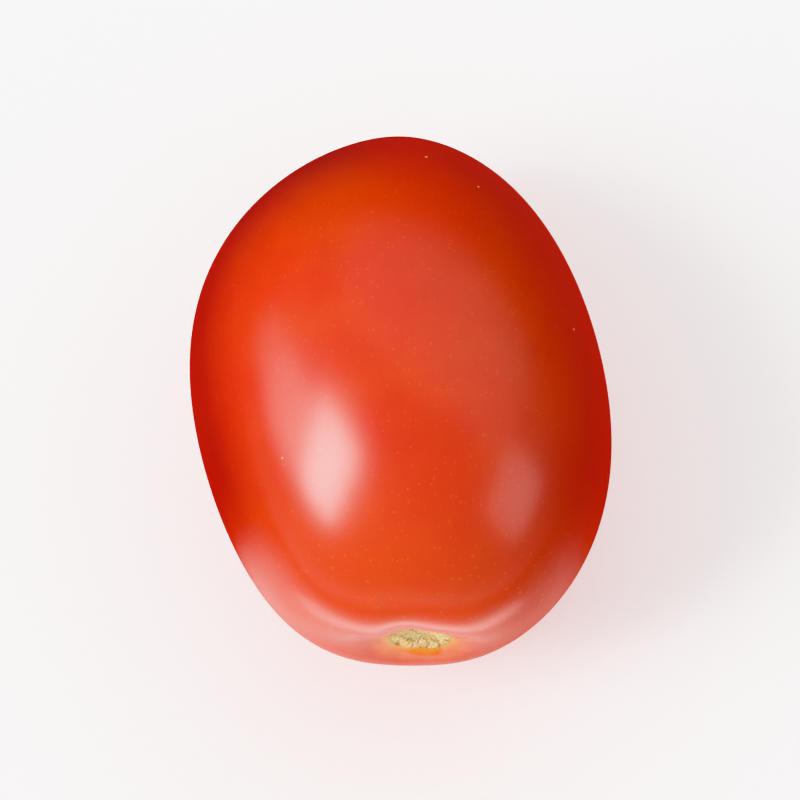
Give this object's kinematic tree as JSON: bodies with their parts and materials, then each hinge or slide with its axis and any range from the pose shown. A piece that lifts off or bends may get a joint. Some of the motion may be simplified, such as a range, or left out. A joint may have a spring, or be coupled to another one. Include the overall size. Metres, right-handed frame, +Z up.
{
  "type": "plum tomato",
  "caption": "Ripe red plum tomato lying on its side, with soft shoulders, a shallow hollow, a corky stem scar and a small point at the blossom end.",
  "frame": {"origin": "on the table under the middle of the fruit, as it lies on its flat spot", "axes": "+Z up; the fruit's length along Y, with the stem end towards -Y and the blossom end towards +Y; +X to the right of someone who looks at the stem end"},
  "size_m": [0.052, 0.067, 0.0483],
  "materials": {
    "tomato_skin": "smooth, waxy, glossy red skin with fine golden flecks, turning orange round a pale cork stem scar"
  },
  "bodies": {
    "root": {"tomato": "tomato_skin"}
  },
  "joints": []
}
